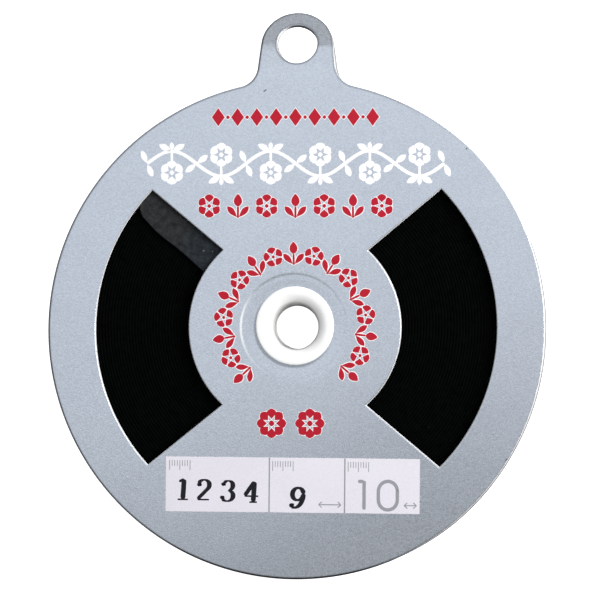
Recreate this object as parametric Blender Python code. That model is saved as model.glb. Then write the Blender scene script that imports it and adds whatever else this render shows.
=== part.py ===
"""A roll of narrow bias binding on a card reel, lying on its back flange.

+Z runs along the reel's axis, out of the front flange, and +Y towards the hanging tabs.
The origin is under the middle of the whole part, on the surface that it lies on.
"""

import math

import bmesh
import bpy
import numpy as np

MM = 0.001

# Card flanges. The outline is a disc with a tab, and the flat card is bent after it is cut.
DISC_RADIUS = 60.0 * MM
BOARD = 0.9 * MM
TAB_HEAD_RADIUS = 8.55 * MM
TAB_HEAD_Y = 68.85 * MM  # of the flat card, from the middle of the disc
TAB_HOLE_RADIUS = 5.05 * MM
TAB_FLARE = math.radians(9.0)
TAB_FILLET = 4.6 * MM
TAB_LEAN = math.radians(15.4)  # below the crease, which crosses the hole
TAB_TIP_LEAN = math.radians(24.0)  # above the crease
TAB_LEAN_Y = (60.0 * MM, 64.0 * MM)  # the lean grows between these two

# Windows of the front flange, about a middle a little above the disc's.
WINDOW_Y = 0.5 * MM
WINDOW_INNER = 25.75 * MM
WINDOW_OUTER = 48.6 * MM
WINDOW_END_ANGLE = math.radians(39.5)
WINDOW_END_OFFSET = 3.3 * MM  # the straight ends pass this far outside the middle

# The hub's hole and dish, the hub and the tape share an axis, a little above the windows' middle.
HUB_Y = 0.95 * MM
DISH_RADIUS = 12.3 * MM
DISH_WALL = 1.1 * MM
DISH_DEPTH = 0.75 * MM

# Tape: wound on edge, so that its finished width is the height of the roll.
TAPE_WIDTH = 9.0 * MM
TAPE_LAYER = 1.0 * MM  # the loose end, with its folds and their spring
CLEAR = 0.3 * MM  # between neighbouring pieces
REEL_WIDTH = 2 * BOARD + 3 * CLEAR + TAPE_WIDTH + TAPE_LAYER
ROLL_RADIUS = 50.2 * MM
LAST_TURN = 0.6 * MM  # the roll grows by this in its last turn
RIDGE_HEIGHT = 0.12 * MM
RIDGES = 7  # groups of turns that stand a little proud of the others
END_ANGLE = math.radians(138.0)  # direction of the loose end, away from the hub
END_ASIDE = 1.03 * MM  # its middle line misses the hub's middle by this
END_INNER = 17.0 * MM
END_CORNER = 0.5 * MM  # inside radius where it turns over the roll's edge
FOLD_START = 44.2 * MM  # from here the slanting fold takes the strip's width, from one side
FOLD_SHARE = 0.94  # of the width, taken by the fold's foot

# Hub: one flared plastic eyelet, with a thick barrel that the tape is wound on.
RIM_RADIUS = 9.5 * MM
RIM_EDGE = 0.4 * MM
RIM_INSET = 0.05 * MM  # the rims stay inside the flanges' outer faces
FUNNEL_RADIUS = 7.3 * MM
FUNNEL_DEPTH = 4.2 * MM
BORE_RADIUS = 5.15 * MM
NECK_RADIUS = 7.9 * MM
BARREL_RADIUS = 14.1 * MM

DISC_STEPS = 120
EYE_STEPS = 56
ROLL_STEPS = 72
TAB_ROWS = 12


def finish(name):
    """A plain Principled material by name: colour, roughness, metallic."""
    looks = {
        "silver_card": ((0.52, 0.56, 0.63, 1), 0.38, 0.6),
        "white_plastic": ((0.86, 0.86, 0.83, 1), 0.35, 0.0),
        "black_tape": ((0.006, 0.006, 0.008, 1), 0.85, 0.0),
        "charcoal_tape": ((0.025, 0.028, 0.033, 1), 0.8, 0.0),
    }
    color, roughness, metallic = looks[name]
    material = bpy.data.materials.get(name) or bpy.data.materials.new(name)
    material.use_nodes = True
    shader = material.node_tree.nodes["Principled BSDF"]
    shader.inputs["Base Color"].default_value = color
    shader.inputs["Roughness"].default_value = roughness
    shader.inputs["Metallic"].default_value = metallic
    return material


def place(bm, name, material, smooth_under=40.0):
    """Puts a closed mesh, modelled about the disc's middle, into the scene as one piece."""
    bmesh.ops.translate(bm, verts=bm.verts, vec=(0, -outline_middle(), 0))
    bmesh.ops.triangulate(bm, faces=bm.faces)
    bmesh.ops.recalc_face_normals(bm, faces=bm.faces)
    mesh = bpy.data.meshes.new(name)
    bm.to_mesh(mesh)
    bm.free()
    mesh.shade_smooth()
    mesh.set_sharp_from_angle(angle=math.radians(smooth_under))
    piece = bpy.data.objects.new(name, mesh)
    piece.data.materials.append(finish(material))
    bpy.context.scene.collection.objects.link(piece)
    return piece


def arc(middle, radius, start, stop, steps, both_ends=True):
    """Points of an arc from one angle to another."""
    angles = np.linspace(start, stop, steps + 1)
    if not both_ends:
        angles = angles[1:-1]
    return [(middle[0] + radius * math.cos(a), middle[1] + radius * math.sin(a)) for a in angles]


def circle(middle, radius, steps):
    return arc(middle, radius, 0, math.tau, steps)[:-1]


def card_outline():
    """The flat card's outline: disc, fillet, flared side and round head, mirrored to the left."""
    head = (0.0, TAB_HEAD_Y)
    side = (math.cos(TAB_FLARE), math.sin(TAB_FLARE))  # outward normal of the right side
    reach = head[1] * side[1] + TAB_HEAD_RADIUS + TAB_FILLET
    around = DISC_RADIUS + TAB_FILLET
    lean = TAB_FLARE + math.acos(reach / around)
    corner = (around * math.cos(lean), around * math.sin(lean))
    fillet = arc(corner, TAB_FILLET, lean + math.pi, math.pi + TAB_FLARE, 7)
    right = fillet + arc(head, TAB_HEAD_RADIUS, TAB_FLARE, math.pi / 2, 14)
    left = [(-x, y) for x, y in reversed(right[:-1])]
    rim_steps = round(DISC_STEPS * (math.pi + 2 * lean) / math.tau)
    rim = arc((0, 0), DISC_RADIUS, math.pi - lean, math.tau + lean, rim_steps, both_ends=False)
    return right + left + rim


def window_outline(side):
    """One window: a band between two arcs, its straight ends parallel to a slanted radius."""
    def end_angle(radius):
        return WINDOW_END_ANGLE + math.asin(WINDOW_END_OFFSET / radius)

    outer, inner = end_angle(WINDOW_OUTER), end_angle(WINDOW_INNER)
    points = arc((0, WINDOW_Y), WINDOW_OUTER, -outer, outer, 28)
    points += arc((0, WINDOW_Y), WINDOW_INNER, inner, -inner, 16)
    return [(side * x, y) for x, y in points]


def loop_of(bm, points, height=0.0):
    """A closed loop of edges through the points."""
    verts = [bm.verts.new((x, y, height)) for x, y in points]
    edges = [bm.edges.new((a, b)) for a, b in zip(verts, verts[1:] + verts[:1])]
    return verts, edges


def bridge(bm, first, second):
    """Faces between two rings of as many points."""
    around = zip(first, first[1:] + first[:1], second[1:] + second[:1], second)
    for corners in around:
        bm.faces.new(corners)


def bent(flat_y):
    """Where a point of the flat card's middle layer goes: (y, drop, lean)."""
    lean_from, lean_to = TAB_LEAN_Y
    y, drop, lean = min(flat_y, lean_from), 0.0, 0.0
    if flat_y <= lean_from:
        return y, drop, lean
    ramp = min(flat_y, lean_to) - lean_from
    lean = TAB_LEAN * ramp / (lean_to - lean_from)
    y += ramp * math.cos(lean / 2)
    drop += ramp * math.sin(lean / 2)
    for start, stop, slope in ((lean_to, TAB_HEAD_Y, TAB_LEAN), (TAB_HEAD_Y, math.inf, TAB_TIP_LEAN)):
        run = min(flat_y, stop) - start
        if run > 0:
            y, drop, lean = y + run * math.cos(slope), drop + run * math.sin(slope), slope
    return y, drop, lean


def outline_middle():
    """How far the middle of the bent outline, seen from the front, lies above the disc's."""
    y, _, lean = bent(TAB_HEAD_Y + TAB_HEAD_RADIUS)
    return (y + BOARD / 2 * math.sin(lean) - DISC_RADIUS) / 2


def bend_tab(bm):
    """Cuts rows across the tab, then leans it back, keeping the card's thickness."""
    top = TAB_HEAD_Y + TAB_HEAD_RADIUS
    rows = set(np.linspace(TAB_LEAN_Y[0], TAB_LEAN_Y[1], 4)) | {TAB_HEAD_Y, TAB_HEAD_Y + 0.5 * MM}
    rows |= set(np.linspace(TAB_LEAN_Y[1], top, TAB_ROWS - 4)[1:-1])
    for y in sorted(rows):
        everything = bm.verts[:] + bm.edges[:] + bm.faces[:]
        bmesh.ops.bisect_plane(bm, geom=everything, plane_co=(0, y, 0), plane_no=(0, 1, 0))
    for vert in bm.verts:
        if vert.co.y > TAB_LEAN_Y[0]:
            y, drop, lean = bent(vert.co.y)
            above = vert.co.z + BOARD / 2
            vert.co.y = y + above * math.sin(lean)
            vert.co.z = -BOARD / 2 - drop + above * math.cos(lean)


def flange(name, front):
    """One card flange. It is made with its outer face up at height 0, then put at its side."""
    bm = bmesh.new()
    outlines = [card_outline(), circle((0, TAB_HEAD_Y), TAB_HOLE_RADIUS, 32)]
    if front:
        outlines += [window_outline(1), window_outline(-1)]
    edges = []
    for points in outlines:
        edges += loop_of(bm, points)[1]
    eye = (0, HUB_Y)
    dish_top, ring_edges = loop_of(bm, circle(eye, DISH_RADIUS + DISH_WALL, EYE_STEPS))
    filled = bmesh.ops.triangle_fill(bm, edges=edges + ring_edges, use_beauty=True)
    faces = [g for g in filled["geom"] if isinstance(g, bmesh.types.BMFace)]

    # The inner face is a copy of the outer one, a board's thickness below.
    copy = bmesh.ops.duplicate(bm, geom=faces)
    twin = {a: b for a, b in copy["vert_map"].items() if isinstance(a, bmesh.types.BMVert)}
    under = [g for g in copy["geom"] if isinstance(g, bmesh.types.BMVert)]
    bmesh.ops.translate(bm, verts=under, vec=(0, 0, -BOARD))
    for edge in edges:
        a, b = edge.verts
        bm.faces.new((a, b, twin[b], twin[a]))

    # The dish is pressed in: both faces step down by the same depth, a board apart.
    offset = BOARD * math.tan(math.atan2(DISH_DEPTH, DISH_WALL) / 2)
    dish_under = [twin[v] for v in dish_top]
    for vert, (x, y) in zip(dish_under, circle(eye, DISH_RADIUS + DISH_WALL + offset, EYE_STEPS)):
        vert.co.x, vert.co.y = x, y
    hole = NECK_RADIUS + CLEAR
    floor, floor_under = -DISH_DEPTH, -DISH_DEPTH - BOARD
    rings = [dish_top]
    for radius, height in ((DISH_RADIUS, floor), (hole, floor), (hole, floor_under),
                           (DISH_RADIUS + offset, floor_under)):
        rings.append([bm.verts.new((x, y, height)) for x, y in circle(eye, radius, EYE_STEPS)])
    rings.append(dish_under)
    for first, second in zip(rings, rings[1:]):
        bridge(bm, first, second)

    bend_tab(bm)
    if front:
        bmesh.ops.translate(bm, verts=bm.verts, vec=(0, 0, REEL_WIDTH))
    else:
        bmesh.ops.scale(bm, verts=bm.verts, vec=(1, 1, -1))
    return place(bm, name, "silver_card", smooth_under=35.0)


def turned(name, material, profile, steps, middle):
    """A closed ring: a profile of (radius, height) points carried round an upright axis."""
    bm = bmesh.new()
    rings = [[bm.verts.new((x, y, z)) for x, y in circle(middle, r, steps)] for r, z in profile]
    for first, second in zip(rings, rings[1:] + rings[:1]):
        bridge(bm, first, second)
    return place(bm, name, material)


def hub():
    """The eyelet: rim, funnel and bore inside; rim, neck and barrel outside; the same both ways."""
    rim = REEL_WIDTH - RIM_INSET
    shoulder = REEL_WIDTH - DISH_DEPTH - BOARD - CLEAR
    middle = REEL_WIDTH / 2
    funnel = [
        (FUNNEL_RADIUS - (FUNNEL_RADIUS - BORE_RADIUS) * math.sin(a), rim - FUNNEL_DEPTH * (1 - math.cos(a)))
        for a in np.linspace(0, math.pi / 2, 7)
    ]
    lip = [
        (NECK_RADIUS, rim - RIM_EDGE),
        (RIM_RADIUS - 0.1 * MM, rim - RIM_EDGE),
        (RIM_RADIUS, rim - 0.6 * RIM_EDGE),
        (RIM_RADIUS - 0.1 * MM, rim - 0.2 * RIM_EDGE),
        (RIM_RADIUS - 0.4 * MM, rim),
    ]
    upper = [(BARREL_RADIUS, shoulder), (NECK_RADIUS, shoulder)] + lip + funnel
    lower = [(r, 2 * middle - z) for r, z in reversed(upper)]
    return turned("hub", "white_plastic", upper + lower, EYE_STEPS, (0, HUB_Y))


def wound_tape():
    """The roll: low ridges on its faces, and an outside that grows over the last turn."""
    low, high = BOARD + CLEAR, BOARD + CLEAR + TAPE_WIDTH
    inner = BARREL_RADIUS + CLEAR
    bm = bmesh.new()
    step = math.radians(0.4)
    angles = END_ANGLE + np.linspace(step, math.tau - step, ROLL_STEPS)
    columns = []
    for number, angle in enumerate(angles):
        outer = ROLL_RADIUS + LAST_TURN * number / (ROLL_STEPS - 1)
        radii = np.linspace(inner, outer, 2 * RIDGES + 1)
        top = [(r, high - RIDGE_HEIGHT * (k % 2)) for k, r in enumerate(radii)]
        section = top + [(outer, low + RIDGE_HEIGHT), (outer - LAST_TURN, low), (inner, low)]
        columns.append([
            bm.verts.new((r * math.cos(angle), HUB_Y + r * math.sin(angle), z)) for r, z in section
        ])
    for first, second in zip(columns, columns[1:] + columns[:1]):
        bridge(bm, first, second)
    return place(bm, "wound_tape", "black_tape")


def tape_end():
    """The loose end: in over the roll's face, over its edge, and down its outside to a slanting fold."""
    top = BOARD + 2 * CLEAR + TAPE_WIDTH + TAPE_LAYER  # its upper face, just under the front flange
    low = BOARD + CLEAR + RIDGE_HEIGHT
    outside = ROLL_RADIUS + LAST_TURN + CLEAR
    bend = END_CORNER + TAPE_LAYER
    edge = outside - END_CORNER
    # Stations along the strip: its length so far, then its outer and inner face as (distance, height).
    stations = [(d, (d, top), (d, top - TAPE_LAYER)) for d in (END_INNER, FOLD_START)]
    for a in np.linspace(0, math.pi / 2, 6):
        faces = [(edge + r * math.sin(a), top - bend + r * math.cos(a)) for r in (bend, END_CORNER)]
        stations.append((edge + bend * a, *faces))
    foot = edge + bend * math.pi / 2 + top - bend - low
    stations.append((foot, (outside + TAPE_LAYER, low), (outside, low)))

    along = np.array([math.cos(END_ANGLE), math.sin(END_ANGLE)])
    across = np.array([-along[1], along[0]])
    origin = np.array([0, HUB_Y]) + across * END_ASIDE
    bm = bmesh.new()
    sections = []
    for length, outer, inner in stations:
        folded = max(0.0, (length - FOLD_START) / (foot - FOLD_START))
        sides = (-0.5 * TAPE_WIDTH, (0.5 - FOLD_SHARE * folded) * TAPE_WIDTH)
        corners = []
        for side, (distance, height) in ((0, outer), (0, inner), (1, inner), (1, outer)):
            x, y = origin + along * distance + across * sides[side]
            corners.append(bm.verts.new((x, y, height)))
        sections.append(corners)
    for first, second in zip(sections, sections[1:]):
        bridge(bm, first, second)
    bm.faces.new(sections[0])
    bm.faces.new(sections[-1])
    return place(bm, "tape_end", "charcoal_tape")


for old in list(bpy.data.objects):
    bpy.data.objects.remove(old, do_unlink=True)

flange("back_flange", front=False)
flange("front_flange", front=True)
hub()
wound_tape()
tape_end()
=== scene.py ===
import math

import bmesh
import bpy
import numpy as np
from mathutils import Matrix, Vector
from mathutils.geometry import delaunay_2d_cdt


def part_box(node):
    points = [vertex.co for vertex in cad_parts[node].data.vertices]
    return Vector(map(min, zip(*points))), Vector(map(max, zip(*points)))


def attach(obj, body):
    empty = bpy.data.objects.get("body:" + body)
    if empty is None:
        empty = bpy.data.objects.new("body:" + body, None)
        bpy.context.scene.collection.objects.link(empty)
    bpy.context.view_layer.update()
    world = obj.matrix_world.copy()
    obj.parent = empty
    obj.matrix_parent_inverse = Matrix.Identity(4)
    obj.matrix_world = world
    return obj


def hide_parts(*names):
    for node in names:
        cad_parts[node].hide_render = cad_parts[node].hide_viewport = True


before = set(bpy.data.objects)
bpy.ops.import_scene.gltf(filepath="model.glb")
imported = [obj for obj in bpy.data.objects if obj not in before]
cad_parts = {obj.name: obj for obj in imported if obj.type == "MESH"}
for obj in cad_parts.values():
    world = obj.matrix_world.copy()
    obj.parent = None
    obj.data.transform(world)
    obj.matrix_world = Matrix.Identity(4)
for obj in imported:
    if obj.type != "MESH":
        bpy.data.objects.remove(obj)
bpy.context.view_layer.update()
mm = 0.001

# Every shape below is worked out in millimetres about the disc's middle, with the height above the floor.
frontLow, frontHigh = (np.array(corner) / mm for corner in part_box("front_flange"))
hubLow, hubHigh = (np.array(corner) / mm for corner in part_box("hub"))
discRadius = (frontHigh[0] - frontLow[0]) / 2
discY = frontLow[1] + discRadius
reelTop = frontHigh[2]
# The hub sits a little off the middle that the CAD part gives it, and the pressed dish a little off the hub.
hubX, hubY = -0.15, (hubLow[1] + hubHigh[1]) / 2 - discY + 0.2
dishX, dishY = hubX - 0.2, hubY - 0.4
print("frame loaded, reel", round(2 * discRadius, 1), "mm across and", round(reelTop, 1), "mm wide")


def newObject(name, data):
    made = bpy.data.objects.new(name, data)
    bpy.context.scene.collection.objects.link(made)
    return made


def pick(settings, names):
    return [settings[name] for name in names.split()]


# Shader nodes. An input, by name or number, is a plain value or another node's output.
def feed(tree, sockets, values):
    for label, value in values.items():
        if isinstance(value, (tuple, int, float)):
            sockets[label].default_value = value
        else:
            tree.links.new(value, sockets[label])


def addNode(tree, kind, inputs, **settings):
    made = tree.nodes.new("ShaderNode" + kind)
    for label, value in settings.items():
        setattr(made, label, value)
    feed(tree, made.inputs, inputs)
    return made


def calc(tree, operation, *values):
    return addNode(tree, "Math", dict(enumerate(values)), operation=operation).outputs[0]


def plus(tree, first, second):
    return calc(tree, "ADD", first, second)


def minus(tree, first, second):
    return calc(tree, "SUBTRACT", first, second)


def times(tree, first, second):
    return calc(tree, "MULTIPLY", first, second)


def spread(tree, value, fromLow, fromHigh, toLow, toHigh):  # a value carried from one range to another
    sockets = {"Value": value, "From Min": fromLow, "From Max": fromHigh, "To Min": toLow, "To Max": toHigh}
    return addNode(tree, "MapRange", sockets).outputs["Result"]


def noise(tree, vector, scale, detail=2.0, roughness=0.5):
    sockets = {"Vector": vector, "Scale": scale, "Detail": detail, "Roughness": roughness}
    return addNode(tree, "TexNoise", sockets).outputs["Fac"]


def scaled(tree, vector, scale):  # a vector, or a colour, times a value
    vector = vector[:3] if isinstance(vector, tuple) else vector
    return addNode(tree, "VectorMath", {0: vector, "Scale": scale}, operation="SCALE").outputs[0]


def mixColour(tree, share, first, second):
    mix = addNode(tree, "Mix", {"Factor": share}, data_type="RGBA")
    feed(tree, [s for s in mix.inputs if s.type == "RGBA"], {0: first, 1: second})
    return [s for s in mix.outputs if s.type == "RGBA"][0]


def bump(tree, height, strength, distance):
    sockets = {"Height": height, "Strength": strength, "Distance": distance}
    return addNode(tree, "Bump", sockets).outputs["Normal"]


def attribute(tree, name):
    return addNode(tree, "Attribute", {}, attribute_name=name).outputs["Fac"]


# The camera and the light.
view = {
    "lookAt": (0.865, -0.75),  # mm, on the front face
    "distance": 1.9,
    "slant": 6.0,  # degrees off the reel's axis, to the right
    "discShare": 2 * 249.06 / 598,  # of the picture's width, that the disc takes
    "sensor": 36.0,
}

lights = {
    # name: (place and the point aimed at, in metres; size; watts; colour)
    "overheadLeft": ((-0.095, 0.137, 0.30), (-0.095, 0.137, 0), (0.13, 0.41), 0.123, (0.94, 1.0, 1.09)),
    "overheadRight": ((0.078, 0.152, 0.30), (0.078, 0.152, 0), (0.22, 0.38), 0.172, (0.955, 1.0, 1.11)),
    "window": ((0.63, 0.21, 0.56), (0, 0, 0), (0.55, 0.55), 8.9, (1.0, 0.985, 0.965)),
}

# The room's walls are paler than its ceiling: how high they go, where it begins, and how bright each is.
room = {"colour": (1.0, 0.99, 0.98, 1), "tones": (0.3, 0.8, 0.5, 0.15)}


def addCamera():
    data = bpy.data.cameras.new("photoCamera")
    data.sensor_width = view["sensor"]
    data.lens = view["discShare"] * view["sensor"] / (2 * discRadius * mm / view["distance"])
    data.clip_start, data.clip_end = 0.005, 20
    slant = math.radians(view["slant"])
    target = np.array([*view["lookAt"], reelTop]) * mm
    camera = newObject("photoCamera", data)
    camera.location = target + view["distance"] * np.array([math.sin(slant), 0, math.cos(slant)])
    camera.rotation_euler = (0, slant, 0)
    bpy.context.scene.camera = camera


def addLights():
    for name, (place, aim, size, watts, colour) in lights.items():
        data = bpy.data.lights.new(name, "AREA")
        data.shape = "RECTANGLE"
        data.size, data.size_y = size
        data.energy = watts
        data.color = colour
        light = newObject(name, data)
        light.location = place
        light.rotation_euler = (Vector(aim) - Vector(place)).to_track_quat("-Z", "Y").to_euler()
    world = bpy.data.worlds.new("room")
    world.use_nodes = True
    tree = world.node_tree
    way = addNode(tree, "TexCoord", {}).outputs["Generated"]
    height = addNode(tree, "SeparateXYZ", {0: way}).outputs["Z"]
    feed(tree, tree.nodes["Background"].inputs,
         {"Color": room["colour"], "Strength": spread(tree, height, *room["tones"])})
    bpy.context.scene.world = world
    bpy.context.scene.view_settings.view_transform = "Standard"


addCamera()
addLights()
print("camera and lights set")


# Groups of nodes that the materials share. An input is a number with a value, or a vector if it has none.
def newGroup(name, inputs, outputs):
    group = bpy.data.node_groups.new(name, "ShaderNodeTree")
    for label, value in inputs.items():
        kind = "NodeSocketVector" if value is None else "NodeSocketFloat"
        socket = group.interface.new_socket(label, in_out="INPUT", socket_type=kind)
        if value is not None:
            socket.default_value = value
    for label in outputs:
        group.interface.new_socket(label, in_out="OUTPUT", socket_type="NodeSocketFloat")
    return group, group.nodes.new("NodeGroupInput").outputs, group.nodes.new("NodeGroupOutput").inputs


def useGroup(tree, group, **values):
    return addNode(tree, "Group", values, node_tree=group).outputs


# Fine grain: flecks of one cell each over soft noise, with a slow mottle. Vector is in metres, Size in mm.
def makeGrain():
    group, given, result = newGroup("fineGrain", {"Vector": None, "Size": 0.3, "Flecks": 0.1, "Mottle": 0.03},
                                    ("Shade", "Height"))
    fine = scaled(group, given["Vector"], calc(group, "DIVIDE", 1000.0, given["Size"]))
    cells = addNode(group, "TexVoronoi", {"Vector": fine, "Scale": 1.0}).outputs["Color"]
    cell = addNode(group, "SeparateColor", {"Color": cells}).outputs
    shade = 1.0
    for value, amount in ((cell["Red"], "Flecks"), (noise(group, fine, 0.55, detail=3.0), "Flecks"),
                          (noise(group, given["Vector"], 90.0, detail=3.0), "Mottle")):
        shade = plus(group, shade, times(group, minus(group, value, 0.5), given[amount]))
    feed(group, result, {"Shade": shade, "Height": cell["Green"]})
    return group


# Worn edge: a mask that bites inwards from the edge, where Near is 1, by ragged noise.
def makeWear():
    group, given, result = newGroup("wornEdge", {"Vector": None, "Near": 0.0, "Wear": 0.3}, ("Mask",))
    ragged = noise(group, given["Vector"], 900.0, detail=4.0, roughness=0.65)
    patches = noise(group, given["Vector"], 60.0)
    reach = times(group, times(group, ragged, patches), given["Wear"])
    over = minus(group, given["Near"], minus(group, 1.0, reach))
    mask = addNode(group, "Math", {0: over, 1: 14.0}, operation="MULTIPLY", use_clamp=True)
    feed(group, result, {"Mask": mask.outputs[0]})
    return group


# Plain weave on the bias. Vector is the cloth's own (length, width) in mm, turned by 45 degrees, and Pitch is
# the thread spacing. Height is the upper of two rows of half round threads that take turns on top.
def makeWeave():
    group, given, result = newGroup("biasWeave", {"Vector": None, "Pitch": 0.34}, ("Height", "Shade"))
    turned = addNode(group, "VectorRotate", {"Vector": given["Vector"], "Angle": math.radians(45)},
                     rotation_type="Z_AXIS").outputs[0]
    threads = scaled(group, turned, calc(group, "DIVIDE", math.pi, given["Pitch"]))
    threads = addNode(group, "SeparateXYZ", {0: threads}).outputs
    shift = times(group, noise(group, given["Vector"], 1.3, detail=1.0), 1.6)
    warp, weft = [calc(group, "SINE", plus(group, threads[way], shift)) for way in "XY"]
    over = calc(group, "GREATER_THAN", times(group, warp, weft), 0.0)
    warpHigh, weftHigh = [calc(group, "POWER", calc(group, "ABSOLUTE", wave), 0.6) for wave in (warp, weft)]
    top = plus(group, times(group, warpHigh, over), times(group, weftHigh, minus(group, 1.0, over)))
    feed(group, result, {"Height": top, "Shade": spread(group, top, 0.0, 1.0, 0.7, 1.1)})
    return group


# Lint and dust: bright specks, thinly strewn. Scale is per metre, Amount from 0 to 1.
def makeLint():
    group, given, result = newGroup("lint", {"Vector": None, "Scale": 500.0, "Amount": 0.3}, ("Mask",))
    place = scaled(group, given["Vector"], given["Scale"])
    waves = addNode(group, "TexNoise", {"Vector": place, "Scale": 0.8}).outputs["Color"]
    bent = addNode(group, "VectorMath", {0: place, 1: waves}, operation="ADD").outputs[0]
    cells = addNode(group, "TexVoronoi", {"Vector": bent, "Scale": 1.0}).outputs
    cell = addNode(group, "SeparateColor", {"Color": cells["Color"]}).outputs
    chosen = calc(group, "LESS_THAN", cell["Blue"], given["Amount"])
    speck = calc(group, "LESS_THAN", cells["Distance"], spread(group, cell["Red"], 0.0, 1.0, 0.07, 0.2))
    feed(group, result, {"Mask": times(group, chosen, speck)})
    return group


grainGroup, wearGroup, weaveGroup, lintGroup = makeGrain(), makeWear(), makeWeave(), makeLint()


def newMaterial(name, constants):
    material = bpy.data.materials.new(name)
    material.use_nodes = True
    tree = material.node_tree
    sockets = tree.nodes["Principled BSDF"].inputs
    feed(tree, sockets, constants)
    return material, tree, sockets, addNode(tree, "TexCoord", {}).outputs["Object"]


silverLook = {
    # the near-black colour is painted shade, for the dark lines along cut edges and round the hub's rim
    "ink": (0.61, 0.655, 0.715, 1), "board": (0.90, 0.90, 0.90, 1), "paintedShadeColour": (0.050, 0.053, 0.060, 1),
    "speck": (0.16, 0.165, 0.175, 1), "metal": 0.8, "roughness": 0.27,
    "fleckSize": 0.24, "flecks": 0.16, "mottle": 0.10, "wear": 0.50,
    "streak": 0.75,  # how far the grain is drawn out sideways
}


# Silver ink on white board, by three attributes: one is 1 on the board's own white and on painted highlights,
# near
# is 1 on a cut's rounded edge, beside which the ink is worn off in ragged specks, and one is 1 on painted
# shade:
# the dark lines along cut edges and the painted shadow round the hub's rim.
def silverCard():
    look = silverLook
    material, tree, sockets, place = newMaterial("silverCard", {"IOR": 1.5})
    worn = useGroup(tree, wearGroup, Vector=place, Near=attribute(tree, "near"), Wear=look["wear"])["Mask"]
    board = calc(tree, "MAXIMUM", attribute(tree, "bareAndHighlight"), worn)
    drawn = addNode(tree, "Mapping", {"Vector": place, "Scale": (look["streak"], 1, 1)}).outputs["Vector"]
    grain = useGroup(tree, grainGroup, Vector=drawn, Size=look["fleckSize"], Flecks=look["flecks"],
                     Mottle=look["mottle"])
    specks = useGroup(tree, lintGroup, Vector=place, Scale=380.0, Amount=0.03)["Mask"]
    ink = scaled(tree, look["ink"], grain["Shade"])
    silver = mixColour(tree, times(tree, specks, 0.55), ink, look["speck"])
    fibres = spread(tree, noise(tree, place, 1500.0, detail=4.0), 0.3, 0.7, 0.93, 1.03)
    face = mixColour(tree, board, silver, scaled(tree, look["board"], fibres))
    rough = plus(tree, look["roughness"], times(tree, minus(tree, grain["Height"], 0.5), 0.10))
    feed(tree, sockets, {
        # painted shade: where its attribute is 1 the colour turns near-black, along cut edges and round the hub
        "Base Color": mixColour(tree, attribute(tree, "paintedShade"), face, look["paintedShadeColour"]),
        "Metallic": spread(tree, board, 0, 1, look["metal"], 0.0),
        "Roughness": plus(tree, rough, times(tree, board, 0.45)),
        "Normal": bump(tree, grain["Height"], 0.15, 0.00004),
    })
    return material


# the last colour is painted shade, laid in the funnel beside the bore
plasticLook = {"colour": (0.915, 0.922, 0.915, 1), "specks": (0.30, 0.30, 0.29, 1),
               "paintedFunnelShade": (0.13, 0.13, 0.12, 1), "roughness": 0.36}


def whitePlastic():  # clean but for fine specks, and for painted shade in the funnel by its attribute
    look = plasticLook
    material, tree, sockets, place = newMaterial("whitePlastic", {"IOR": 1.49})
    clouds = noise(tree, place, 260.0, detail=3.0)
    clean = scaled(tree, look["colour"], spread(tree, clouds, 0.3, 0.7, 0.975, 1.02))
    specks = useGroup(tree, lintGroup, Vector=place, Scale=1100.0, Amount=0.16)["Mask"]
    speckled = mixColour(tree, times(tree, specks, 0.28), clean, look["specks"])
    feed(tree, sockets, {
        "Base Color": mixColour(tree, attribute(tree, "paintedFunnelShade"), speckled, look["paintedFunnelShade"]),
        "Roughness": spread(tree, clouds, 0.3, 0.7, look["roughness"] - 0.05, look["roughness"] + 0.06),
        "Normal": bump(tree, noise(tree, place, 1400.0), 0.06, 0.00005),
    })
    return material


clothLooks = {
    # the roll is the same tape as the loose end, its colour far darker: the tape's own near-black with painted
    # shade between the turns' folds
    "rollCloth": {"colour": (0.0013, 0.0017, 0.0017, 1), "warm": (0.0013, 0.0017, 0.0017, 1),
                  "sheen": 0.0, "gloss": 0.02, "lint": 0.02, "roughness": 0.95},
    "endCloth": {"colour": (0.0175, 0.0225, 0.0275, 1), "warm": (0.0225, 0.0240, 0.0250, 1),
                 "sheen": 0.10, "gloss": 0.12, "lint": 0.46, "roughness": 0.88},
    "warmFrom": 33.0, "warmTo": 41.0,  # the cloth turns warmer between them, in mm along its length
    "pitch": 0.34, "lintColour": (0.36, 0.37, 0.38, 1),
}


def tapeCloth(name):
    look = clothLooks[name]
    material, tree, sockets, place = newMaterial(
        name, {"Sheen Weight": look["sheen"], "Sheen Roughness": 0.5, "Sheen Tint": (0.9, 0.94, 1.0, 1),
               "Specular IOR Level": look["gloss"]})
    flat = addNode(tree, "UVMap", {}, uv_map="cloth").outputs["UV"]
    weave = useGroup(tree, weaveGroup, Vector=flat, Pitch=clothLooks["pitch"])
    uneven = spread(tree, noise(tree, place, 620.0, detail=5.0, roughness=0.72), 0.3, 0.7, 0.3, 1.7)
    along = addNode(tree, "SeparateXYZ", {0: flat}).outputs["X"]
    wander = times(tree, noise(tree, place, 160.0, detail=3.0), 9.0)
    warm = spread(tree, plus(tree, along, wander), clothLooks["warmFrom"], clothLooks["warmTo"], 0.0, 1.0)
    lint = useGroup(tree, lintGroup, Vector=place, Scale=1000.0, Amount=look["lint"])["Mask"]
    cloth = scaled(tree, mixColour(tree, warm, look["colour"], look["warm"]),
                   times(tree, weave["Shade"], uneven))
    feed(tree, sockets, {
        "Base Color": mixColour(tree, times(tree, lint, 0.5), cloth, clothLooks["lintColour"]),
        "Roughness": spread(tree, uneven, 0.5, 1.5, look["roughness"] - 0.05, look["roughness"] + 0.05),
        "Normal": bump(tree, weave["Height"], 0.5, 0.00006),
    })
    return material


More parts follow.
